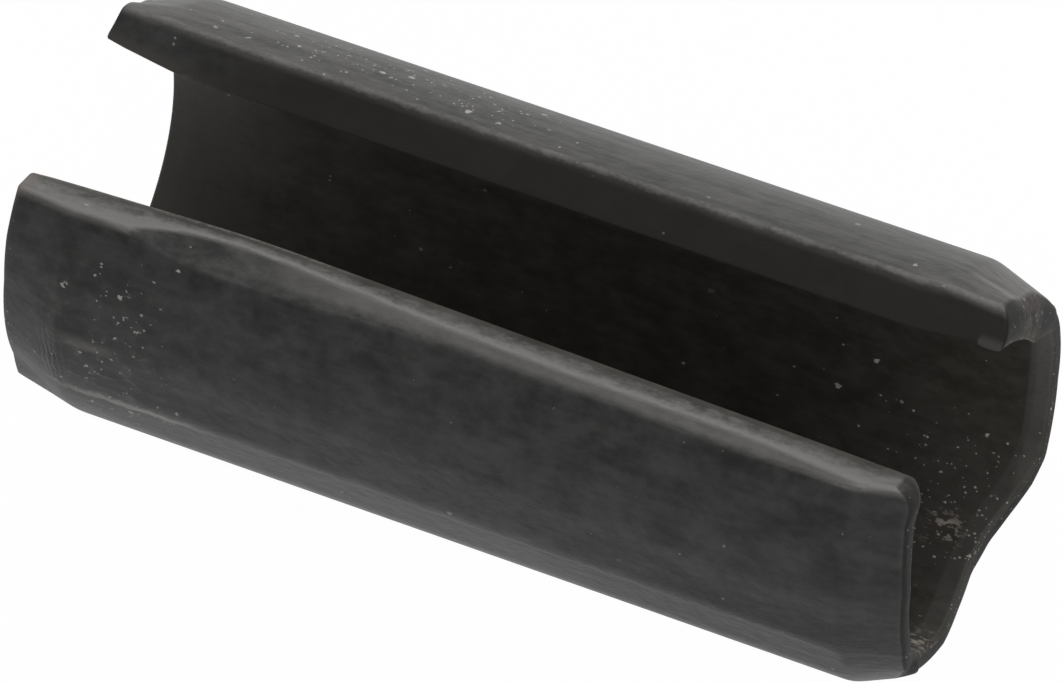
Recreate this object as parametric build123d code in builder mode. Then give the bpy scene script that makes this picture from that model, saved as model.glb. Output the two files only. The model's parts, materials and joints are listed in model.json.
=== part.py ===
from build123d import *
import math
import os

os.makedirs("parts", exist_ok=True)

# Slotted spring pin of the light kind, 5 x 12, lying on its back with the slot up.
# X runs along the pin, Z is up, and the origin is under the middle, on the surface it lies on.
# The near lip of the slot is the one at -Y, and the far lip is the one at +Y.

# The rolled sleeve, as it measures before it is driven into its hole
length = 12.18
outer_diameter = 5.4
wall = 0.54

# The pointed ends: the outside narrows over this length, by this much on the radius
taper_length = 0.835
taper_drop = 0.28
# The mouth of the bore is eased at each end
bore_bevel_length = 0.3
bore_bevel_depth = 0.075
# The +X end isn't cut quite square: it falls back this much for each millimetre towards the far side,
# and this much for each millimetre down
end_skew_far = 0.017
end_skew_down = 0.027

# The slot, measured straight across from lip to lip
slot_mouth = 2.72
slot_throat = 1.71
# The strip wasn't rolled quite true: towards +X the slot opens a little and wanders to -Y
slot_opening = 0.17
slot_wander = 0.21
# The strip's corners are cut askew, so the lips fall back towards the ends: this far, over this length
far_lead_length = 1.15
far_lead_at_minus = 0.36
far_lead_at_plus = 0.3
near_lead_length = 3.0
near_lead_at_minus = 0.21
# The fourth corner, of the near lip at +X, is round instead
near_corner_round = 0.34
# The far lip's ends escaped the tool that narrowed the others. Beside the lip each keeps nearly the
# sleeve's full radius, as an ear. A flat runs from it down to the pointed end. These are its angles from
# the top: where it starts and where it ends on the rim of the end, and where its point lies on the crease.
ear_angle = 38.0
ear_foot_angle = 50.0
ear_point_angle = 44.0
# The ear's outer corner is knocked off, this far from the end. The ear's radius is less than the sleeve's
# by this much at that corner, and by this much where the flat starts on the rim of the end.
ear_corner = 0.16
ear_corner_drop = 0.05
ear_flat_drop = 0.1
# The lips' outer edges are lightly rounded
lip_round = 0.06

# The shear tore the underside of the +X end: a notch beside a low shelf, seen from below.
# Depths are measured back from the end, as it stands there, and places across the pin from its middle.
torn_end_skew = 0.11
notch_depth = 0.33
notch_place = 0.0
notch_far_edge = 1.45
shelf_depth = 0.18
shelf_inner_edge = -1.15
shelf_outer_edge = -1.8
shelf_near_edge = -2.3
notch_round = 0.45

# Sizes that follow from those above
outer_radius = outer_diameter / 2
bore_radius = outer_radius - wall
end_radius = outer_radius - taper_drop
half_length = length / 2
axis_height = outer_radius
crease_place = half_length - taper_length
torn_end = half_length - torn_end_skew
ear_corner_radius = outer_radius - ear_corner_drop
ear_flat_radius = outer_radius - ear_flat_drop

# How far a cutter reaches past the faces that it has to clear
clear = 1.0
# How much further round than its foot an ear begins, in degrees, and how deep its root lies in the wall
ear_margin = 10.0
ear_root_radius = bore_radius + wall / 3
# How far the slot's cutter reaches below the inner edges of the lips, inside the bore
slot_reach = 0.25


def edge_height(radius, half_gap):
    """Height above the axis of a point on a circle round it, half_gap away from the middle plane."""
    return math.sqrt(radius**2 - half_gap**2)


mouth_height = edge_height(outer_radius, slot_mouth / 2)
throat_height = edge_height(bore_radius, slot_throat / 2)
# Sideways travel of the slanted lip face for each millimetre of height
lip_slope = (slot_mouth - slot_throat) / 2 / (mouth_height - throat_height)


def fall_back(x, start, amount):
    """How far a lip has fallen back at x, where the cut corner begins at start and gives amount at the end."""
    return amount * max(0.0, (abs(x) - start) / (half_length - start))


def half_gaps(x):
    """Distances from the middle plane to the near and the far lip's inner edges at x, both positive."""
    share = x / length
    half_throat = (slot_throat + slot_opening * share) / 2
    far_lead = far_lead_at_plus if x > 0 else far_lead_at_minus
    near_lead = 0.0 if x > 0 else near_lead_at_minus
    far = half_throat - slot_wander * share + fall_back(x, half_length - far_lead_length, far_lead)
    near = half_throat + slot_wander * share + fall_back(x, half_length - near_lead_length, near_lead)
    return near, far


def slot_section(x):
    """The slot's outline across the pin at x, open past the mouth and closed inside the bore."""
    near, far = half_gaps(x)
    bottom = throat_height - slot_reach
    top = outer_radius + clear
    inset = slot_reach * lip_slope
    spread = (top - throat_height) * lip_slope
    with BuildSketch(Plane((x, 0, axis_height), x_dir=(0, 1, 0), z_dir=(1, 0, 0))) as section:
        with BuildLine():
            Polyline(
                (inset - near, bottom),
                (far - inset, bottom),
                (far + spread, top),
                (-near - spread, top),
                close=True,
            )
        make_face()
    return section.sketch


def on_sleeve(x, angle, radius):
    """A point by its place along the pin, its angle from the top towards the far lip, and its radius."""
    turn = math.radians(angle)
    return Vector(x, radius * math.sin(turn), axis_height + radius * math.cos(turn))


def ear_flat(end):
    """The plane of the flat beside the ear at one end, +1 or -1, with its normal pointing out of the metal."""
    start = on_sleeve(end * half_length, ear_angle, ear_flat_radius)
    foot = on_sleeve(end * half_length, ear_foot_angle, end_radius)
    point = on_sleeve(end * crease_place, ear_point_angle, outer_radius)
    normal = (foot - start).cross(point - start)
    return Plane(start, x_dir=foot - start, z_dir=normal * math.copysign(1, normal.Y))


with BuildPart() as spring_pin:
    # The sleeve as a full ring, with its tapered ends and eased bore
    with BuildSketch(Plane((0, 0, axis_height), x_dir=(1, 0, 0), z_dir=(0, -1, 0))):
        with BuildLine():
            Polyline(
                (-half_length, end_radius),
                (-half_length + taper_length, outer_radius),
                (half_length - taper_length, outer_radius),
                (half_length, end_radius),
                (half_length, bore_radius + bore_bevel_depth),
                (half_length - bore_bevel_length, bore_radius),
                (-half_length + bore_bevel_length, bore_radius),
                (-half_length, bore_radius + bore_bevel_depth),
                close=True,
            )
        make_face()
    revolve(axis=Axis((0, 0, axis_height), (1, 0, 0)))

    # The ears at both ends of the far lip. Each is swept from inside the pointed end to inside the slot,
    # which cuts it off at the lip.
    for end in (-1, 1):
        with BuildPart():
            turn = math.radians(ear_foot_angle + ear_margin)
            with BuildSketch(Plane((0, 0, axis_height), x_dir=(1, 0, 0), z_dir=(0, -math.cos(turn), math.sin(turn)))):
                with BuildLine():
                    Polyline(
                        (end * crease_place, ear_root_radius),
                        (end * crease_place, outer_radius),
                        (end * (half_length - ear_corner), ear_corner_radius),
                        (end * half_length, end_radius),
                        (end * half_length, ear_root_radius),
                        close=True,
                    )
                make_face()
            revolve(axis=Axis((0, 0, axis_height), (1, 0, 0)), revolution_arc=ear_foot_angle)
            with BuildSketch(ear_flat(end)):
                Rectangle(outer_diameter, outer_diameter)
            extrude(amount=clear, mode=Mode.SUBTRACT)

    # The slot between the lips, which fall back along the corners that were cut askew
    stations = {-half_length - clear, half_length + clear}
    stations |= {-half_length + near_lead_length, -half_length + far_lead_length, half_length - far_lead_length}
    loft(sections=[slot_section(x) for x in sorted(stations)], ruled=True, mode=Mode.SUBTRACT)

    # The rounded outer edges of the lips, between the corners
    lips = spring_pin.edges().filter_by(
        lambda edge: edge.center().Z > axis_height + (mouth_height + throat_height) / 2
        and abs(edge.center().X) < half_length - taper_length
        and edge.length > taper_length
    )
    fillet(lips, radius=lip_round)

    # The round corner of the strip, at the +X end of the near lip, cut square to the strip
    near_lip = -half_gaps(half_length)[0]
    corner_plane = Plane(
        (half_length, near_lip, axis_height + throat_height),
        x_dir=(1, 0, 0),
        z_dir=(0, -lip_slope, 1),
    )
    with BuildSketch(corner_plane):
        with BuildLine():
            RadiusArc((-near_corner_round, 0), (0, -near_corner_round), near_corner_round)
            Polyline(
                (0, -near_corner_round),
                (clear, -near_corner_round),
                (clear, clear),
                (-near_corner_round, clear),
                (-near_corner_round, 0),
            )
        make_face()
    extrude(amount=wall + slot_reach, both=True, mode=Mode.SUBTRACT)

    # The +X end, cut askew from its longest place, the near lip
    end_plane = Plane(
        (half_length, near_lip, axis_height + throat_height),
        z_dir=(1, end_skew_far, -end_skew_down),
    )
    with BuildSketch(end_plane):
        Rectangle(4 * outer_diameter, 4 * outer_diameter)
    extrude(amount=clear, mode=Mode.SUBTRACT)

    # The torn underside of the +X end
    with BuildSketch(Plane.XY.offset(-clear)):
        with BuildLine():
            torn = FilletPolyline(
                (torn_end, notch_far_edge),
                (torn_end - notch_depth, notch_place),
                (torn_end - shelf_depth, shelf_inner_edge),
                (torn_end - shelf_depth, shelf_outer_edge),
                (half_length, shelf_near_edge),
                radius=notch_round,
            )
            Polyline(torn @ 1, (half_length + clear, shelf_near_edge), (half_length + clear, notch_far_edge), torn @ 0)
        make_face()
    extrude(amount=clear + axis_height, mode=Mode.SUBTRACT)

spring_pin.part.label = "spring_pin"
export_step(spring_pin.part, "parts/spring_pin.step")
print("edges rounded:", len(lips), "volume:", round(spring_pin.part.volume, 2))
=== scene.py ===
# %% [markdown]
# # A slotted spring pin, close up
# This file dresses one small part: a pin rolled from spring steel strip, with a slot along its top.
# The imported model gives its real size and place. The cells below set up a camera, a floor and lights,
# then model the rolled strip as one fine mesh, and give it a black oxide finish with the wear of use.

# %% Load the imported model
import json
import math

import bpy
import numpy as np
from mathutils import Matrix, Vector


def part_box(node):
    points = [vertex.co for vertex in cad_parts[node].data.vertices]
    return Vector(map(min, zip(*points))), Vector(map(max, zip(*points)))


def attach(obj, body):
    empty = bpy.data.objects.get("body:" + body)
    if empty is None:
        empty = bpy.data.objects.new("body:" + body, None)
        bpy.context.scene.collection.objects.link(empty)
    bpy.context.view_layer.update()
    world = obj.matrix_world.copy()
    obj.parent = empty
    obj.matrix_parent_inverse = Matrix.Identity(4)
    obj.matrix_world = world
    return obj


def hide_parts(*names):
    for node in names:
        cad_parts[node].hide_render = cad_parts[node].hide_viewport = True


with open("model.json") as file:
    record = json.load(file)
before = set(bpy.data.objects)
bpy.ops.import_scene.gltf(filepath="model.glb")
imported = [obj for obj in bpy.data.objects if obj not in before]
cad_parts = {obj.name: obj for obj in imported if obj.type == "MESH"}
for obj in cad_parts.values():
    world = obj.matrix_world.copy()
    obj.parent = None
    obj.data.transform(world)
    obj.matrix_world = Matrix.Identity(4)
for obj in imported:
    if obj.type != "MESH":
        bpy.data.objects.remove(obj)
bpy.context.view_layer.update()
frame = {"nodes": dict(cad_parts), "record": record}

print("pieces to dress:", sorted(frame["nodes"]))

# %% [markdown]
# ## Sizes
# A scene that stands on measured sizes can be checked against the real thing. The record holds the
# two radii and how long the straight walls are, so the pointed ends follow from them. Everything is
# worked out in millimetres, and only the finished mesh is turned into metres.

# %% Sizes from the record
METRES = 0.001
mounts = {mount["name"]: mount for mount in frame["record"]["mounts"]}
low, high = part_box("spring_pin")

outer_radius = mounts["outer_wall"]["dims"]["r_mm"]
bore_radius = mounts["bore"]["dims"]["r_mm"]
wall = outer_radius - bore_radius
length = (high.x - low.x) / METRES
half_length = length / 2
taper_length = (length - mounts["outer_wall"]["dims"]["length_mm"]) / 2
bevel_length = (length - mounts["bore"]["dims"]["length_mm"]) / 2
axis_height = outer_radius

# The ends are narrower than the body by this much on the radius, and the mouth of the bore is wider
taper_drop = 0.28
bevel_depth = 0.075
end_radius = outer_radius - taper_drop
crease_place = half_length - taper_length
print(f"pin {length:.2f} mm long, {2 * outer_radius:.2f} mm across, wall {wall:.2f} mm")

# %% [markdown]
# ## Camera
# The photograph was taken from a few steps away with a long lens, looking down on the pin past its
# right end. A long lens keeps the two ends nearly the same size. The camera is placed by its bearing
# and height over the pin's middle, then rolled, because the pin lies aslant in the picture.

# %% Camera
camera_bearing = math.radians(39.06)
camera_height = math.radians(60.92)
camera_roll = math.radians(16.39)
camera_distance = 125.28
# How far beside and above the pin's middle the camera is aimed
aim_right = 0.032
aim_up = -0.075
# Focal length over sensor width
lens_ratio = 9.609
sensor_width = 36.0

# The point on the pin's axis that the bearing, height and distance are taken from
pin_middle = Vector((-0.055, 0, axis_height))
away = Vector((
    math.sin(camera_bearing) * math.cos(camera_height),
    -math.cos(camera_bearing) * math.cos(camera_height),
    math.sin(camera_height),
))
level_right = (-away).cross(Vector((0, 0, 1))).normalized()
level_up = level_right.cross(-away)
picture_right = math.cos(camera_roll) * level_right - math.sin(camera_roll) * level_up
picture_up = math.sin(camera_roll) * level_right + math.cos(camera_roll) * level_up
camera_place = pin_middle + camera_distance * away
aim = pin_middle + aim_right * picture_right + aim_up * picture_up
look = (aim - camera_place).normalized()
picture_right = look.cross(picture_up).normalized()
picture_up = picture_right.cross(look)

camera_data = bpy.data.cameras.new("camera")
camera_data.sensor_width = sensor_width
camera_data.lens = lens_ratio * sensor_width
camera_data.clip_start = 0.001
camera = bpy.data.objects.new("camera", camera_data)
turn = Matrix((picture_right, picture_up, -look)).transposed().to_4x4()
camera.matrix_world = Matrix.Translation(camera_place * METRES) @ turn
bpy.context.scene.collection.objects.link(camera)
bpy.context.scene.camera = camera
bpy.context.scene.view_settings.view_transform = "Standard"
print(f"camera {camera_distance:.0f} mm from the pin, lens {camera_data.lens:.0f} mm")

# %% [markdown]
# ## Shader maths
# A material is a graph of nodes. Wiring it by hand is long, so a small class wraps a socket, and the
# usual operators add the Math nodes. A tree object makes every other node in one call: its type, its
# settings, then what goes into its sockets.

# %% A socket that can be calculated with
class Value:
    """One output socket of a node tree, with + - and * as Math nodes."""

    def __init__(self, tree, socket):
        self.tree = tree
        self.socket = socket

    def maths(self, operation, *inputs):
        return self.tree.node("ShaderNodeMath", {"operation": operation}, dict(enumerate(inputs)))

    def __add__(self, other):
        return self.maths("ADD", self, other)

    def __sub__(self, other):
        return self.maths("SUBTRACT", self, other)

    def __rsub__(self, other):
        return self.maths("SUBTRACT", other, self)

    def __mul__(self, other):
        return self.maths("MULTIPLY", self, other)

    __radd__ = __add__
    __rmul__ = __mul__

    def step(self, start, end):
        """0 below start, 1 above end, and a smooth ramp between them. start may be the larger one."""
        return self.tree.node(
            "ShaderNodeMapRange",
            {"interpolation_type": "SMOOTHSTEP"},
            {"Value": self, "From Min": start, "From Max": end},
        )

    def bell(self, middle, half_width):
        """1 at the middle, falling smoothly to 0 at half_width on either side."""
        return self.maths("ABSOLUTE", self - middle).step(half_width, 0.0)

    def sine(self):
        return self.maths("SINE", self)

    def clamped(self):
        """The same between 0 and 1."""
        return self.tree.node("ShaderNodeClamp", {}, {0: self})

    def other(self, output):
        """Another output of the same node."""
        return Value(self.tree, self.socket.node.outputs[output])


class Tree:
    """The node tree of one material or world."""

    def __init__(self, owner):
        owner.use_nodes = True
        self.nodes = owner.node_tree.nodes
        self.links = owner.node_tree.links
        self.nodes.clear()

    def node(self, kind, settings=(), inputs=(), output=0):
        """Adds a node, sets it up, fills its sockets, and gives back one of its outputs."""
        made = self.nodes.new(kind)
        for name, value in dict(settings).items():
            setattr(made, name, value)
        for name, value in dict(inputs).items():
            if isinstance(value, Value):
                self.links.new(value.socket, made.inputs[name])
            else:
                made.inputs[name].default_value = value
        return Value(self, made.outputs[output]) if made.outputs else made

    def blend(self, share, first, second):
        """A colour between first and second, by share."""
        sockets = {"Factor": share, 6: first, 7: second}
        return self.node("ShaderNodeMix", {"data_type": "RGBA"}, sockets, 2)

    def finish(self, kind, shader):
        self.node(kind, {}, {"Surface": shader})


# %% [markdown]
# ## Floor and light
# The pin was photographed on plain white. A floor of pale paint does that, and a Light Path node lets
# the camera see it nearly as pure white while it still catches a soft shadow. The light is one large
# soft box behind the pin, which the far wall and the near lip reflect, a weaker one in front, and a
# white room all round.

# %% Floor
floor_size = 400.0
floor_colour = (0.80, 0.80, 0.80, 1)
# How much of what the camera sees of the floor is plain white, and how much is lit paint
floor_white = 0.985

half_floor = floor_size / 2 * METRES
corners = [(x * half_floor, y * half_floor, 0) for x, y in ((-1, -1), (1, -1), (1, 1), (-1, 1))]
floor_mesh = bpy.data.meshes.new("floor")
floor_mesh.from_pydata(corners, [], [(0, 1, 2, 3)])
floor = bpy.data.objects.new("floor", floor_mesh)
bpy.context.scene.collection.objects.link(floor)


def seen_directly(tree):
    """1 for what the camera sees, straight, in a reflection or through glass, and 0 for other rays."""
    kinds = ("Is Camera Ray", "Is Glossy Ray", "Is Transmission Ray")
    straight, reflected, through_glass = [tree.node("ShaderNodeLightPath", output=kind) for kind in kinds]
    return straight + reflected + through_glass


floor_paint = bpy.data.materials.new("floor_paint")
tree = Tree(floor_paint)
seen = seen_directly(tree)
paint = tree.node("ShaderNodeBsdfDiffuse", {}, {"Color": floor_colour})
white = tree.node("ShaderNodeEmission", {}, {"Color": (1, 1, 1, 1), "Strength": 1.0})
mixed = tree.node("ShaderNodeMixShader", {}, {0: seen * floor_white, 1: paint, 2: white})
tree.finish("ShaderNodeOutputMaterial", mixed)
floor_mesh.materials.append(floor_paint)
print("floor", floor_size, "mm wide")

# %% [markdown]
# ## The room and the lamps
# Dark, glossy steel mostly shows what is around it, so the room matters as much as the lamps. It is
# bright near the horizon and dim overhead, which keeps the upper side of the near wall dark. Each lamp's
# strength is given as the light that it would put on a surface facing it.

# %% Room and lamps
# The room is pale behind the pin and near the floor, and dim overhead and behind the camera
ceiling_strength = 0.15
wall_strength = 1.0
# The two are blended over this range of downward slant, and a little of the back's paleness reaches higher
lean_to_back = 0.25
dim_from, pale_from = -0.9, -0.3
world = bpy.data.worlds.new("room")
bpy.context.scene.world = world
tree = Tree(world)
seen_by_camera = tree.node("ShaderNodeLightPath")
direction = tree.node("ShaderNodeTexCoord")
towards_back = tree.node("ShaderNodeSeparateXYZ", {}, {0: direction}, 1)
towards_top = tree.node("ShaderNodeSeparateXYZ", {}, {0: direction}, 2)
pale = (lean_to_back * towards_back - towards_top).step(dim_from, pale_from)
strength = ceiling_strength + (wall_strength - ceiling_strength) * pale
room = tree.node("ShaderNodeBackground", {}, {"Color": (1, 1, 1, 1), "Strength": strength})
backdrop = tree.node("ShaderNodeBackground", {}, {"Color": (1, 1, 1, 1), "Strength": 1.0})
mixed = tree.node("ShaderNodeMixShader", {}, {0: seen_by_camera, 1: room, 2: backdrop})
tree.finish("ShaderNodeOutputWorld", mixed)


def soft_box(name, bearing, height, distance, size, level):
    """A square lamp facing the pin. level is the light that it alone gives a surface that faces it."""
    bearing = math.radians(bearing)
    height = math.radians(height)
    direction = Vector((
        math.sin(bearing) * math.cos(height),
        math.cos(bearing) * math.cos(height),
        math.sin(height),
    ))
    lamp = bpy.data.lights.new(name, "AREA")
    lamp.size = size * METRES
    # A small lamp of this power, this far away, lights a facing surface to 1
    lamp.energy = level * (math.pi * distance * METRES) ** 2
    box = bpy.data.objects.new(name, lamp)
    box.location = (pin_middle + distance * direction) * METRES
    box.rotation_euler = direction.to_track_quat("Z", "Y").to_euler()
    bpy.context.scene.collection.objects.link(box)


soft_box("back_light", bearing=-10, height=50, distance=90, size=80, level=0.55)
soft_box("front_light", bearing=140, height=40, distance=120, size=60, level=0.12)

# %% [markdown]
# ## The strip as a slab
# The real pin starts as a flat slab of strip. It could be modelled as a tube with a slot cut out, but
# a slab that is bent round keeps every edge as a clean row of points, so the rims and lips can be
# rounded and worn. First come the rows: along the pin, round it from the far lip to the near lip,
# and through the wall, closer together where the form turns quickly.

# %% Rows of points through the slab
edge_round = 0.045
# Where the rows lie on a rounded edge, as shares of its radius, so that the arc is cut evenly
ARC_ROWS = (0.0, 0.423, 0.732, 1.0)
# How far round the strip reaches, in degrees, and its width before bending, along the middle of the wall
strip_turn = 299
strip_width = (bore_radius + wall / 2) * math.radians(strip_turn)
# Where the rows lie through the wall, as shares of it, closer together near both faces
WALL_ROWS = (0, 0.035, 0.06, 0.085, 0.15, 0.23, 0.36, 0.5, 0.64, 0.77, 0.85, 0.915, 0.94, 0.965, 1)


def graded_rows(span, zone, fine, coarse):
    """Distances from 0 to span: fine steps within zone of both edges, coarse ones between them."""
    edge = [edge_round * share for share in ARC_ROWS]
    count_fine = round((zone - edge_round) / fine)
    near_edge = list(np.linspace(edge_round, zone, count_fine + 1)[1:])
    count_coarse = round((span - 2 * zone) / coarse)
    middle = list(np.linspace(zone, span - zone, count_coarse + 1)[1:-1])
    first = edge + near_edge
    return np.array(first + middle + [span - d for d in reversed(first)])


rows_along = graded_rows(length, 0.95, 0.036, 0.072)
rows_round = graded_rows(strip_width, 1.1, 0.036, 0.088)
rows_through = wall * np.array(WALL_ROWS)
print("rows:", len(rows_along), "along,", len(rows_round), "round,", len(rows_through), "through")

# %% [markdown]
# ## The slot, the ends and the torn edge
# No spring pin is perfect. This one's slot opens and wanders a little, three corners of its strip
# were cut askew and the fourth is round, and the shear tore the underside of one end. Each is a short
# function of the place on the pin, with its size in millimetres.

# %% Lips, taper and tear
slot_mouth = 2.72
slot_throat = 1.71
slot_opening = 0.17
slot_wander = 0.21
far_lead_length = 1.15
far_lead_at_minus = 0.34
far_lead_at_plus = 0.3
near_lead_length = 3.0
near_lead_at_minus = 0.24
near_corner_round = 0.3
# How soft the bend is where each cut corner begins
far_lead_softness = 0.08
near_lead_softness = 0.25

mouth_height = math.sqrt(outer_radius**2 - (slot_mouth / 2) ** 2)
throat_height = math.sqrt(bore_radius**2 - (slot_throat / 2) ** 2)
lip_slope = (slot_mouth - slot_throat) / 2 / (mouth_height - throat_height)

# The tear, as depths back from the end at places across the pin, seen from below. It reaches up to a
# little below the axis, and fades out there.
tear_top = -0.2
tear_fade = 0.5
tear_places = [-2.42, -2.3, -1.8, -1.15, -0.6, 0.0, 0.45, 0.8, 1.2, 1.5, 2.42]
tear_depths = [0.0, 0.0, 0.28, 0.29, 0.38, 0.46, 0.41, 0.29, 0.13, 0.06, 0.0]
# Neither end is square. This is how far each falls short on the inside of its wall, at angles in degrees
# from the top round the far side, and how much further its outer rim is worn back.
plus_angles = [28, 45, 60, 75, 95, 115, 140, 230, 238, 245, 252, 262, 275, 298, 310, 320, 332]
plus_falls = [0.01, 0, 0.01, 0.01, 0.06, 0.09, 0.06, 0.2, 0.28, 0.26, 0.16, 0.04, 0, 0.01, 0.07, 0.13, 0.12]
plus_rims = [0.17, 0.16, 0.2, 0.08, 0.06, 0.03, 0.02, 0.06, 0.1, 0.08, 0.04, 0.02, 0.02, 0.02, 0.02, 0.02,
             0.02]
minus_angles = [28, 40, 60, 332]
minus_falls = [0.005, 0.005, 0, 0]
minus_rims = [0.14, 0.12, 0.02, 0.02]


def ramp(distance, softness):
    """0 below zero and the distance itself above it, with a soft bend between them."""
    return softness * np.logaddexp(0, distance / softness)


def lift(height, softness):
    """0 below zero, and a little less than the height itself above it, with a soft start."""
    return np.where(height > 0, np.sqrt(height**2 + softness**2) - softness, 0)


def smooth(value):
    """0 below 0, 1 above 1, and an S curve between them."""
    value = np.clip(value, 0, 1)
    return value * value * (3 - 2 * value)


def on_pin(x, angle, radius):
    """A point by its place along the pin, its angle from the top towards the far side, and its radius."""
    angle = math.radians(angle)
    return np.array([x, radius * math.sin(angle), axis_height + radius * math.cos(angle)])


# The ends are narrowed more or less in places: the share of the full drop at angles round each
plus_drop_angles = [200, 232, 245, 262]
plus_drop_shares = [1, 1.3, 1.3, 1]
minus_drop_angles = [28, 238, 247, 257, 266, 300, 315, 332]
minus_drop_shares = [1, 1, 0.9, 0.6, 1, 1, 0.6, 0.5]


# How soft the crease is where each point begins
crease_softness = 0.03


def taper(x, angle):
    """The outside radius at a place, with the soft crease where the point begins."""
    degrees = np.degrees(angle)
    share = np.where(x > 0, np.interp(degrees, plus_drop_angles, plus_drop_shares),
                     np.interp(degrees, minus_drop_angles, minus_drop_shares))
    return outer_radius - share * taper_drop / taper_length * ramp(np.abs(x) - crease_place, crease_softness)


# The ears: the far lip's ends keep nearly the full radius beside the lip, and a flat runs down to the point
ear_angle = 38.0
ear_foot_angle = 50.0
ear_point_angle = 44.0
ear_corner = 0.16
ear_corner_radius = 2.65
ear_end_radius = 2.6
# The ears reach no further round than this, in degrees. Their flat is soft along its border, and blends
# softly into the point.
ear_reach = 80
ear_flat_softness = 0.02
ear_blend = 0.03


def ear_flat(end, x, angle):
    """The radius at which the flat beside one ear, +1 or -1, crosses this place."""
    start = on_pin(end * half_length, ear_angle, ear_end_radius)
    foot = on_pin(end * half_length, ear_foot_angle, end_radius)
    point = on_pin(end * crease_place, ear_point_angle, outer_radius)
    normal = np.cross(foot - start, point - start)
    normal = normal * np.sign(normal[1])
    level = normal @ (start - (0, 0, axis_height))
    facing = normal[1] * np.sin(angle) + normal[2] * np.cos(angle)
    # Where the plane runs nearly along the radius, it would be crossed very far out
    least_facing = 0.05 * np.linalg.norm(normal)
    return (level - normal[0] * x) / np.maximum(facing, least_facing)


def outer_wall(x, angle):
    """The outside radius at a place, with the ears."""
    narrowing = smooth((np.abs(x) - crease_place) / (taper_length - ear_corner))
    knocked_off = np.clip((np.abs(x) - half_length + ear_corner) / ear_corner, 0, 1)
    ear = outer_radius - (outer_radius - ear_corner_radius) * narrowing
    ear = ear - (ear_corner_radius - end_radius) * (1 - np.sqrt(1 - knocked_off**2))
    flat = np.where(x > 0, ear_flat(1, x, angle), ear_flat(-1, x, angle))
    ear = np.where(angle < math.radians(ear_reach), ear - ramp(ear - flat, ear_flat_softness), 0)
    return taper(x, angle) + lift(ear - taper(x, angle), ear_blend)


# The blow that pointed the +X end tucked its inner rim in beside the far lip: this far, at these angles
tuck_length = 0.45
# It is even over this last length, as far as the end
tuck_even = 0.06
tuck_angles = [28, 36, 47, 60, 68, 76, 86]
tuck_depths = [0.1, 0.17, 0.25, 0.31, 0.33, 0.2, 0.0]
# The -X mouth is hardly eased, and where either mouth's ease begins the bend is nearly sharp
minus_bevel_share = 0.2
bevel_softness = 0.006


def bore_wall(x, angle):
    """The inside radius at a place, with the eased mouths and the tucked rim."""
    share = np.where(x > 0, 1, minus_bevel_share)
    past_bevel = ramp(np.abs(x) - (half_length - bevel_length), bevel_softness)
    eased = bore_radius + share * bevel_depth / bevel_length * past_bevel
    tuck = np.interp(np.degrees(angle), tuck_angles, tuck_depths)
    return eased - tuck * smooth((x - half_length + tuck_length) / (tuck_length - tuck_even))


def half_gap(x, side):
    """From the middle plane to a lip's inner edge at x. side is +1 for the far lip, -1 for the near one."""
    share = x / length
    gap = (slot_throat + slot_opening * share) / 2 - side * slot_wander * share
    if side > 0:
        lead = np.where(x > 0, far_lead_at_plus, far_lead_at_minus) / far_lead_length
        return gap + lead * ramp(np.abs(x) - (half_length - far_lead_length), far_lead_softness)
    lead = near_lead_at_minus / near_lead_length
    return gap + lead * ramp(-x - (half_length - near_lead_length), near_lead_softness)


def lip_angle(radius, x, side):
    """The angle from the top at which the slanted lip face crosses a circle of this radius."""
    foot = half_gap(x, side) - throat_height * lip_slope
    return math.atan(lip_slope) + np.arcsin(foot / (radius * math.hypot(1, lip_slope)))


# A ridge crosses the end face from the bore to the rim, between these places across the pin and above its
# axis. Above it, towards the far lip, the face leans back, on the upper far side only.
ridge_start = np.array([1.82, 1.00])
ridge_end = np.array([2.41, 0.24])
ridge_lean = 0.06
ridge_softness = 0.02
# The rim is worn from this height in the wall outwards
rim_start = 0.45


def plus_fall(angle, height, y, z):
    """How far the +X end falls short at a place on it. height goes from 0 inside the wall to 1 outside."""
    worn = np.clip((height - rim_start) / (1 - rim_start), 0, 0.995)
    fall = np.interp(np.degrees(angle), plus_angles, plus_falls)
    rim = np.interp(np.degrees(angle), plus_angles, plus_rims) * (1 - np.sqrt(1 - worn**2))
    below = smooth((axis_height + tear_top - z) / tear_fade)
    torn = np.interp(y, tear_places, tear_depths) * below
    along = (ridge_end - ridge_start) / np.linalg.norm(ridge_end - ridge_start)
    beyond = (y - ridge_start[0]) * -along[1] + (z - axis_height - ridge_start[1]) * along[0]
    upper_far_side = smooth((y - 0.6) / 0.6) * smooth((z - axis_height) / 0.3)
    lean = ridge_lean * ramp(-beyond, ridge_softness) * upper_far_side
    return np.maximum(fall, torn) + rim + lean


def minus_fall(angle, height):
    """The same for the -X end."""
    degrees = np.degrees(angle)
    rim = np.interp(degrees, minus_angles, minus_rims) * height
    return np.interp(degrees, minus_angles, minus_falls) + rim


def round_corner(distance):
    """How far the end falls short at this distance from the near lip, where the strip's corner is round."""
    inside = np.clip(near_corner_round - distance, 0, near_corner_round)
    return near_corner_round - np.sqrt(near_corner_round**2 - inside**2)


# %% [markdown]
# ## Bending the slab
# A point of the slab is a distance along, a distance round and a height in the wall. Its sharp
# edges are rounded first, by pushing each point that is close to an edge onto a small ball. Then the
# slab is bent: the distance round becomes an angle between the two lips, and the height a radius.

# %% From slab to sleeve
def rounded(place, size, radius):
    """Pushes the points of a box's surface onto rounded edges. All three are per axis."""
    core = np.clip(place, radius, size - radius)
    out = (place - core) / radius
    reach = np.linalg.norm(out, axis=1, keepdims=True)
    return core + out / np.maximum(reach, 1e-9) * radius


# The ends' falls and worn rims move points over these lengths, so that the rows stay evenly spaced
plus_fall_reach = 1.6
minus_fall_reach = 1.0


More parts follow.
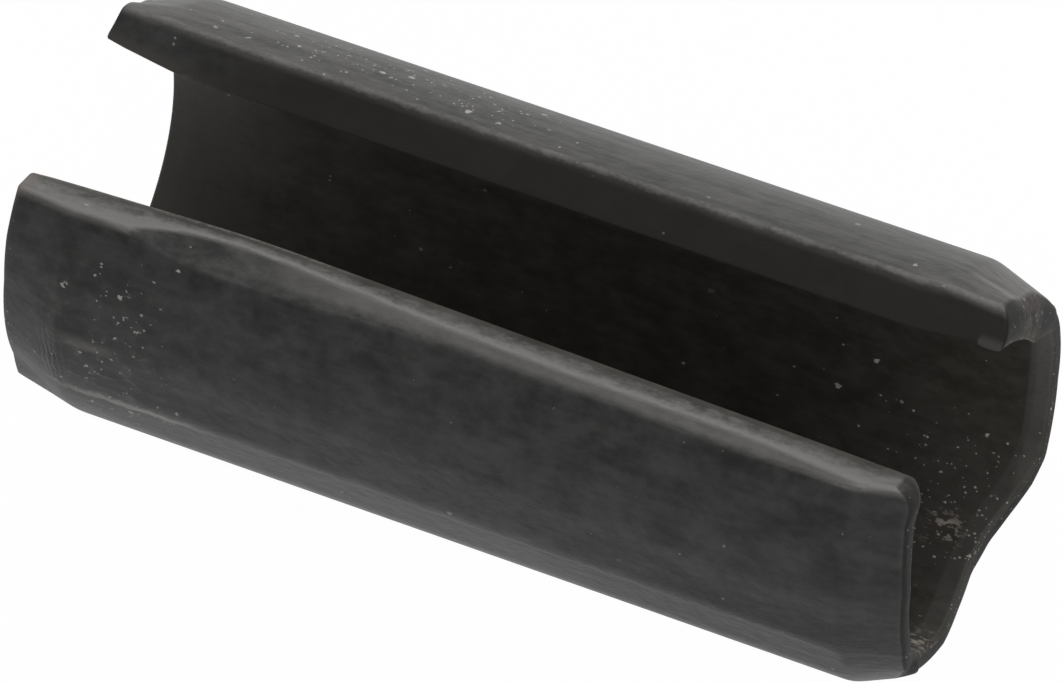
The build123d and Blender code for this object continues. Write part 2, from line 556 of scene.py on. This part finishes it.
def bend(slab):
    """Slab points (along, round, through) as points of the finished sleeve, in millimetres.

    It also gives each point's place on the strip: along, angle in degrees, and height in the wall.
    """
    # The wall is thinner at the ends, so the slab's edges are rounded further through it there
    underneath = np.full(len(slab), math.pi)
    x = slab[:, 0] - half_length
    thinness = (taper(x, underneath) - bore_wall(x, underneath)) / wall
    flat_round = np.full(len(slab), edge_round)
    size = np.array([length, strip_width, wall])
    through_round = edge_round / np.maximum(thinness, 0.25)
    slab = rounded(slab, size, np.column_stack([flat_round, flat_round, through_round]))

    # A first guess of each angle, which the lips, the taper and the falls then correct in a few rounds
    share = slab[:, 1] / strip_width
    height = slab[:, 2] / wall
    x = slab[:, 0] - half_length
    angle = np.radians(30 + share * 300)
    for _ in range(6):
        radius = bore_wall(x, angle) + height * (outer_wall(x, angle) - bore_wall(x, angle))
        far = lip_angle(radius, x, 1)
        near = 2 * math.pi - lip_angle(radius, x, -1)
        angle = far + share * (near - far)
        y = radius * np.sin(angle)
        z = axis_height + radius * np.cos(angle)
        short = plus_fall(angle, height, y, z) + round_corner((near - angle) * radius)
        short = short * smooth((slab[:, 0] - (length - plus_fall_reach)) / plus_fall_reach)
        short = short - minus_fall(angle, height) * smooth((minus_fall_reach - slab[:, 0]) / minus_fall_reach)
        x = slab[:, 0] - half_length - short
    return np.column_stack([x, y, z]), np.column_stack([x, np.degrees(angle), height * wall])


def slab_surface():
    """Every point on the outside of the slab, and the quads between them."""
    counts = (len(rows_along), len(rows_round), len(rows_through))
    skin = np.zeros(counts, bool)
    for axis in range(3):
        for end in (0, -1):
            np.moveaxis(skin, axis, 0)[end] = True
    number = np.full(counts, -1)
    number[skin] = np.arange(skin.sum())
    i, j, k = np.nonzero(skin)
    points = np.column_stack([rows_along[i], rows_round[j], rows_through[k]])
    quads = []
    for axis in range(3):
        for end in (0, -1):
            grid = np.take(number, end, axis)
            if (axis == 1) != (end == 0):
                grid = grid.T
            four = [grid[:-1, :-1], grid[1:, :-1], grid[1:, 1:], grid[:-1, 1:]]
            quads.append(np.stack([part.ravel() for part in four], axis=1))
    return points, np.concatenate(quads)


slab, quads = slab_surface()
sleeve, strip_place = bend(slab)
print("points", len(slab), "triangles", 2 * len(quads))

# %% [markdown]
# ## The bruise on the near lip
# A blow leaves a flat. It is made as a plane that nothing may stand proud of: points beyond it are
# pushed back onto it, so they only ever move inwards. A soft bend at its border gives the rolled-over
# look of struck steel, and a plane that rises towards its ends leaves a lens-shaped bruise.

# %% The bruise
def press(points, on_plane, normal, softness, rise):
    """Pushes back what stands beyond a plane, which rise lifts point by point."""
    normal = np.array(normal) / np.linalg.norm(normal)
    beyond = (points - np.array(on_plane)) @ normal - rise
    return points - np.outer(ramp(beyond, softness), normal)


# The bruise was struck from above. Its plane rises steeply towards -X. Towards +X it fades into a narrow
# rubbed edge that follows the lip, which comes down a little for each millimetre, to its corner.
bruise_middle = -3.455
bruise_across = -1.576
bruise_height = 2.192
bruise_facing = (0, 0.056, 0.998)
steep_rise = 0.135
slow_rise = 0.019
rubbed_rise = 0.122
lip_descent = 0.0142
# Beside the corner the rubbed edge narrows again: by this rise, from this place, over this length
corner_rise = 0.06
corner_place = 3.6
corner_reach = 2.0
# Its border is soft, and softer still towards -X. The far side of the slot was out of the blow's reach.
border_softness = 0.016
extra_softness = 0.024
out_of_reach = 5.0

from_middle = sleeve[:, 0] - bruise_middle
towards_corner = rubbed_rise * (1 - np.exp(-slow_rise * from_middle**2 / rubbed_rise))
beside_corner = smooth((sleeve[:, 0] - corner_place) / corner_reach)
towards_corner += corner_rise * beside_corner - lip_descent * from_middle
bruise_rise = np.where(from_middle > 0, towards_corner, steep_rise * from_middle**2)
bruise_rise = bruise_rise + out_of_reach * smooth(sleeve[:, 1] / 0.2)
bruise_softness = border_softness + extra_softness * smooth((-from_middle - 0.2) / 1.2)
before = sleeve
on_bruise = (0, bruise_across, axis_height + bruise_height)
sleeve = press(sleeve, on_bruise, bruise_facing, bruise_softness, bruise_rise)
bruise_depth = np.linalg.norm(sleeve - before, axis=1)
print(f"bruise {bruise_depth.max():.2f} mm deep")

# %% [markdown]
# ## The roll flats
# The rolls that closed the strip into a sleeve left two long, very shallow flats on the near wall. Steel
# shows such a flat as a band of even tone, so it matters more than its depth suggests. The same press
# makes them, with a plane that lies level along the pin.

# %% Roll flats
# Each one's angle from the top, and half of how far round it reaches, in degrees
ROLL_FLATS = ((-75.8, 8.8), (-94.0, 9.0))
roll_softness = 0.004
# They fade out at the -X end, where their planes rise by this much, from this place, over this length
fade_rise = 0.04
fade_place = -3.6
fade_reach = 1.6

fading = fade_rise * smooth((fade_place - sleeve[:, 0]) / fade_reach)
for roll_angle, half_flat in ROLL_FLATS:
    from_axis = outer_radius * math.cos(math.radians(half_flat))
    facing = on_pin(0, roll_angle, 1) - (0, 0, axis_height)
    sleeve = press(sleeve, on_pin(0, roll_angle, from_axis), facing, roll_softness, fading)
print("pressed", len(ROLL_FLATS), "roll flats")

# %% [markdown]
# ## Making the piece
# The bent points become one mesh of quads, in metres. It rides on the part's own body and stands in for
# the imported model's plain shape, so a viewer that moves or swaps the part moves this one too.

# %% Make the piece
pin_mesh = bpy.data.meshes.new("rolled_sleeve")
pin_mesh.from_pydata((sleeve * METRES).tolist(), [], quads.tolist())
pin_mesh.update()
pin_mesh.shade_smooth()
pin = bpy.data.objects.new("rolled_sleeve", pin_mesh)
bpy.context.scene.collection.objects.link(pin)
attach(pin, "root")
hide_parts("spring_pin")
print("made", pin.name, "of", len(pin_mesh.polygons), "quads")

# %% [markdown]
# ## Where the finish knows it is
# Wear follows the form: lips are rubbed, the bore stays oily, and dust gathers where fingers don't
# reach. Painting this by hand would be slow and fixed to one picture. Instead each point of the mesh
# carries a few numbers: its place on the strip, its distance from the strip's edges, and how far the
# bruise moved it.

# %% Notes on the mesh
from_either_end = np.minimum(slab[:, 0], length - slab[:, 0])
edge_gaps = np.column_stack([slab[:, 1], strip_width - slab[:, 1], from_either_end])
for note, values in (("strip_place", strip_place), ("edge_gaps", edge_gaps)):
    attribute = pin_mesh.attributes.new(note, "FLOAT_VECTOR", "POINT")
    attribute.data.foreach_set("vector", values.astype(np.float32).ravel())
attribute = pin_mesh.attributes.new("bruise_depth", "FLOAT", "POINT")
attribute.data.foreach_set("value", bruise_depth.astype(np.float32))
print("notes on the mesh:", [attribute.name for attribute in pin_mesh.attributes])

# %% [markdown]
# ## Reading the notes, and clouds
# In the material, an Attribute node reads a note back from the mesh. The place on the strip also drives
# every noise. Its angle is turned into millimetres first, so a cloud keeps its size all round. The noises
# are drawn out along the pin, because everything here was rolled.

# %% Places and clouds
steel = bpy.data.materials.new("black_spring_steel")
tree = Tree(steel)
# Which output of an Attribute node gives a vector, and which gives one number
AS_VECTOR, AS_NUMBER = 1, 2


def note_on_mesh(name, form):
    """What each point of the mesh carries under this name."""
    return tree.node("ShaderNodeAttribute", {"attribute_name": name}, output=form)


def apart(vector):
    """The three numbers of a vector."""
    first = tree.node("ShaderNodeSeparateXYZ", {}, {0: vector})
    return first, first.other(1), first.other(2)


place = note_on_mesh("strip_place", AS_VECTOR)
along, angle, depth = apart(place)
from_far_lip, from_near_lip, from_end = apart(note_on_mesh("edge_gaps", AS_VECTOR))
bruised = note_on_mesh("bruise_depth", AS_NUMBER)
# The strip laid flat, in millimetres
mm_per_degree = math.radians(1) * outer_radius
to_mm = {0: place, 1: (1, mm_per_degree, 1)}
flat_place = tree.node("ShaderNodeVectorMath", {"operation": "MULTIPLY"}, to_mm)


def stretched(per_mm, shift):
    """The flat place, scaled to this many cells in a millimetre along, round and through, and shifted."""
    inputs = {0: flat_place, 1: per_mm, 2: (shift, shift, shift)}
    return tree.node("ShaderNodeVectorMath", {"operation": "MULTIPLY_ADD"}, inputs)


def noise_at(per_mm, detail, roughness, shift):
    """Clouds from 0 to 1."""
    sockets = {"Vector": stretched(per_mm, shift), "Scale": 1.0, "Detail": detail, "Roughness": roughness}
    return tree.node("ShaderNodeTexNoise", {}, sockets)


# Broad clouds, the finer mottle, the streaks of the rolls and the grain of the oxide
clouds = noise_at((1.5, 2.0, 2.0), 2.0, 0.6, 0.0)
mottle = noise_at((4.2, 5.2, 5.2), 3.0, 0.65, 3.1)
streaks = noise_at((0.6, 6.5, 6.0), 2.0, 0.6, 7.7)
grain = noise_at((17.0, 22.0, 22.0), 1.0, 0.6, 5.2)
# Each face of the strip, 1 on it and 0 elsewhere, with a soft border that is so many millimetres wide
inside = depth.step(0.20, 0.06)
outside = depth.step(0.40, 0.50)
end_face = from_end.step(0.040, 0.010)
far_lip = from_far_lip.step(0.040, 0.010)
near_lip = from_near_lip.step(0.040, 0.010)
print("nodes so far:", len(tree.nodes))

# %% [markdown]
# ## Black oxide, and painted light
# The pin is hardened and blackened. The oxide is thin and uneven, so it looks clouded: nearly neutral
# outside, and brown inside, where oil stays. Two shades of each, blended by the noises, give that. Over
# them lies painted light: painted shade and a painted floor reflection on the lower near wall, painted
# light at the mouths of the bore, and painted shade on the far lip's face.

# %% The oxide
dark_oxide = (0.0188, 0.0185, 0.0181, 1)
pale_oxide = (0.0512, 0.0507, 0.0500, 1)
bore_dark = (0.0350, 0.0312, 0.0257, 1)
bore_pale = (0.0640, 0.0590, 0.0520, 1)
# Painted shade for the far lip's face
far_lip_painted_shade = (0.0175, 0.0160, 0.0142, 1)
unevenness = 0.45 * clouds + 0.37 * mottle + 0.18 * streaks

# Painted light on the lower near wall: painted shade, darker towards +X, and a painted reflection of
# the floor, a little paler elsewhere. The end faces are dark.
lower_wall_painted_shade_and_reflection = outside * (0.42 * along.step(0.5, 4.0) * angle.bell(262.0, 30.0)
                        - 0.14 * angle.bell(262.0, 22.0))
outer_oxide_with_painted_light = tree.blend((unevenness - lower_wall_painted_shade_and_reflection - 0.25 * end_face).step(0.32, 0.68), dark_oxide, pale_oxide)
# Painted light in the bore: paler at its -X mouth, a painted reflection of the floor seen through it,
# and paler on its floor near the torn end
bore_mouths_painted_light = 0.22 * along.step(-4.0, -5.8) + 0.16 * along.step(3.6, 5.4) * angle.bell(168.0, 45.0)
bore_oxide_with_painted_light = tree.blend((unevenness + bore_mouths_painted_light).step(0.34, 0.70), bore_dark, bore_pale)
colour = tree.blend(inside, outer_oxide_with_painted_light, bore_oxide_with_painted_light)
# Painted shade: the far lip's face is darkest, except at its -X end
colour = tree.blend(far_lip * (0.85 - 0.7 * along.step(-3.0, -5.6)), colour, far_lip_painted_shade)
print("oxide laid on")

# %% [markdown]
# ## Rubbed lips and edges, and painted highlights
# Where the strip has been rubbed, the oxide thins and the steel shows grey. The lips' outer edges get
# most of it, then the rims. The pale band on the near lip's face and the bruise's bright crest are partly
# that wear and partly painted highlight. Each edge is a distance in millimetres, made ragged with noise,
# so that the border isn't ruled.

# %% Wear on the lips and edges
ragged = 0.12 * mottle + 0.05 * grain - 0.085
to_outer = wall - depth
near_edge = (from_near_lip + to_outer + ragged).step(0.12, 0.0)
inner_chips = (from_near_lip + depth + 1.5 * ragged).step(0.09, 0.02) * along.step(-1.0, -2.6)
far_edge = (from_far_lip + to_outer + ragged).step(0.07, 0.0)
far_inner_edge = (from_far_lip + depth + ragged).step(0.05, 0.0) * along.step(-4.0, -5.2)
outer_rim = (from_end + to_outer + ragged).step(0.09, 0.0)
# The near lip's face is pale on its outer half, partly rubbed and partly a painted highlight, most where
# the bruise is and beside the torn end
near_lip_wear_and_highlight_along = (0.54 + 0.32 * along.step(-1.2, -3.4) - 0.36 * along.step(-4.2, -5.6)
               + 0.22 * along.step(2.8, 5.0))
near_strip = near_lip * (depth + 0.4 * ragged).step(0.06, 0.42) * near_lip_wear_and_highlight_along
# The bruise itself stays dark. Where it narrows to the rubbed edge, it is as bright as the lip. Its crest,
# on the lip's face, is bright all along: rubbed steel with a painted highlight.
in_bruise = bruised.step(0.010, 0.050)
rubbed_edge = bruised.step(0.004, 0.040) * along.step(-3.4, -1.6) * from_near_lip.step(0.12, -0.02)
crest = (bruised + 0.2 * ragged).bell(0.010, 0.016) * depth.step(0.10, 0.16) * from_near_lip.step(0.12, 0.04)
print("edges rubbed")

# %% [markdown]
# ## Scuffs and painted sheen on the walls
# The walls are scuffed in a few places: along the far wall, in the mouth of the bore, and where the rolls
# and the pointing tool touched the -X end. The far wall's scuffs also carry part of its painted sheen.
# Places are given by their distance along in millimetres and their angle in degrees. Then all the wear
# and painted sheen are added up, and let the pale bare steel through.

# %% Wear on the walls
# Pale bare steel, for the wear and for the painted sheen and highlights
worn_steel_and_sheen = (0.150, 0.145, 0.137, 1)
# The far wall beside its lip: scuffs, and part of its painted sheen, more towards both ends
far_ends = 0.55 + 0.60 * along.step(4.2, 6.0) + 0.30 * along.step(-2.5, -4.5)
far_wall_scuffs_and_sheen = outside * angle.step(100.0, 60.0) * far_ends * (0.7 * streaks.step(0.36, 0.62) + 1.2 * mottle)
# The eased mouth of the bore at the torn end
mouth = (inside * (from_end + 0.5 * ragged).step(0.33, 0.29) * along.step(0.0, 1.0)
         * (0.6 + 0.4 * angle.step(140.0, 110.0)))
# Smudges on the near wall at the -X end, the roll lines, which are rubbed there, and the crease of the point
smudges = outside * along.bell(-4.7, 1.9) * angle.bell(284.0, 36.0) * mottle.step(0.55, 0.66)
wavy_angle = angle + 5.0 * (mottle - 0.5)
upper_line = 0.8 * wavy_angle.bell(292.0, 3.0) * along.bell(-4.75, 0.6)
lower_line = 2.4 * wavy_angle.bell(272.2, 2.4) * along.bell(-4.3, 1.3) + 0.3 * wavy_angle.bell(272.2, 1.2)
roll_lines = outside * (upper_line + lower_line)
crease = outside * (along + crease_place).bell(0.0, 0.09) * angle.bell(298.0, 26.0)

# How much of the oxide is gone at each place, with the painted highlights and sheen blended in the same way
near_lip_wear_and_highlight = (near_strip * (0.75 + 0.5 * streaks) + 0.6 * near_edge) * (1.0 - in_bruise)
bruise_wear = rubbed_edge * (0.36 + 0.20 * streaks) + 0.10 * in_bruise * mottle.step(0.35, 0.65)
worn_and_sheen_places = [
    (0.65, crest), (0.70, inner_chips), (0.60, far_edge), (0.50, far_inner_edge), (0.12, outer_rim),
    (0.37, far_wall_scuffs_and_sheen), (0.32, mouth), (0.26, smudges), (0.60, roll_lines), (0.12, crease),
]
wear_and_sheen = near_lip_wear_and_highlight + bruise_wear + sum(share * worn for share, worn in worn_and_sheen_places)
wear_and_sheen = (wear_and_sheen * (1.0 - 0.8 * end_face)).clamped()
colour = tree.blend(wear_and_sheen, colour, worn_steel_and_sheen)
print("worn places:", 2 + len(worn_and_sheen_places))

# %% [markdown]
# ## Dust
# A part from a drawer carries dust. It is drawn with Voronoi cells: each cell may hold one speck, and
# soft patches decide how many do. A coarse layer and a fine one together look like real dust.

# %% Dust
def cells(per_mm, shift):
    """Voronoi cells: the distance from each one's middle, and two random numbers for each."""
    sockets = {"Vector": stretched((per_mm, per_mm, per_mm), shift), "Scale": 1.0}
    distance = tree.node("ShaderNodeTexVoronoi", {}, sockets)
    numbers = tree.node("ShaderNodeSeparateColor", {}, {0: distance.other(1)})
    return distance, numbers, numbers.other(1)


def specks(layer, size, share):
    """Specks in a layer of cells: their mean radius as a part of a cell, and the share of cells with one."""
    distance, chosen, bigger = layer
    ragged_distance = distance + 0.50 * (grain - 0.5)
    speck = (ragged_distance - size * (0.3 + 1.2 * bigger)).step(0.07, -0.07)
    return speck * (share - chosen).step(0.0, 0.02)


def patch(middle_along, half_along, middle_angle, half_angle):
    """A soft oval on the strip, by its middle and half its size along (mm) and round (degrees)."""
    return along.bell(middle_along, half_along) * angle.bell(middle_angle, half_angle)


coarse_cells = cells(7.0, 11.0)
fine_cells = cells(16.0, 17.0)
left_patch = outside * (patch(-4.3, 1.1, 304.0, 24.0) + patch(-4.6, 1.1, 276.0, 22.0))
far_patch = outside * (patch(-2.4, 3.4, 46.0, 17.0) + 0.3 * patch(-2.4, 4.5, 66.0, 14.0))
bore_patch = inside * along.step(2.6, 5.2) * angle.bell(175.0, 70.0)
left_rim = outside * along.step(-5.75, -6.0)
thick = mottle.step(0.46, 0.60)
# Flecks caught along the roll line, and on the floor of the bore near the torn end
roll_line_patch = outside * patch(-4.2, 0.9, 271.5, 5.0)
bore_floor = inside * along.step(3.8, 5.2) * angle.bell(160.0, 30.0)
# The share of cells with a speck: a few everywhere, and more in the patches, where the dust is thick
coarse_share = 0.014 + (0.75 * left_patch + 0.30 * left_rim + 0.6 * far_patch + 0.15 * bore_patch
                        + roll_line_patch) * thick
fine_share = 0.012 + (0.70 * left_patch + 0.40 * left_rim + 2.0 * far_patch + 0.24 * bore_patch
                      + 1.4 * bore_floor + 1.8 * roll_line_patch + 0.5 * end_face) * thick
dust = (specks(coarse_cells, 0.21, coarse_share) + 0.85 * specks(fine_cells, 0.20, fine_share)).clamped()
dust_colour = (0.50, 0.49, 0.46, 1)
colour = tree.blend((0.62 + 0.30 * inside) * dust, colour, dust_colour)
print("dusted")

# %% [markdown]
# ## Crumbs and a stain
# Grease has caught crumbs of rust on the floor of the bore, beside the tear, and there is a pinkish
# stain on the end face. Both are patches that a noise breaks up, blended in as one more colour each.

# %% Crumbs and stain
crumb_colour = (0.46, 0.41, 0.36, 1)
crumb_patches = patch(5.17, 0.40, 172.5, 9.0) + 0.7 * patch(5.65, 0.35, 225.0, 16.0)
crumbs = inside * crumb_patches * noise_at((7.0, 10.0, 10.0), 2.0, 0.75, 4.4).step(0.50, 0.62)
colour = tree.blend(0.85 * crumbs, colour, crumb_colour)
# A pinkish stain on the end face, beside the far lip, and on the corner of the near lip at -X
stain_colour = (0.150, 0.122, 0.112, 1)
stain = end_face * along.step(0.0, 1.0) * angle.bell(52.0, 17.0) * mottle.step(0.36, 0.60)
near_corner = (from_end + from_near_lip).step(0.26, 0.05) * along.step(-1.0, -2.0)
colour = tree.blend((0.42 * stain + 0.5 * near_corner).clamped(), colour, stain_colour)
print("crumbs and stain laid on")

# %% [markdown]
# ## Roughness and relief
# Oxide is rougher than the bare steel that shows at worn edges, and dust is dull. A Bump node adds
# what is too fine to model: the grain of the oxide, the roll's streaks, small pits, and the chatter
# marks that the pointing tool left on the -X end. Heights are in millimetres.

# %% Relief
roughness = (0.38 + 0.16 * mottle + 0.10 * inside - 0.06 * wear_and_sheen + 0.3 * dust + 0.22 * in_bruise
             + 0.12 * far_lip + 0.30 * end_face)
pits = grain.step(0.30, 0.22)
chatter_zone = outside * patch(-5.27, 0.30, 283.0, 15.0)
# The chatter marks run round the point, a little askew and wavy, about twelve to a millimetre
rings = (along * 74.0 + (angle - 283.0) * 0.30 + 14.0 * mottle).sine()
height = (0.013 * mottle + 0.0018 * streaks + 0.0013 * grain - 0.0030 * pits
          + 0.0045 * rings * chatter_zone)
relief = tree.node("ShaderNodeBump", {}, {"Strength": 1.0, "Distance": METRES, "Height": height})
shader = tree.node("ShaderNodeBsdfPrincipled", {}, {
    "Base Color": colour, "Roughness": roughness, "Normal": relief, "IOR": 1.3,
})
tree.finish("ShaderNodeOutputMaterial", shader)
pin_mesh.materials.append(steel)
print("finish of", len(steel.node_tree.nodes), "nodes")
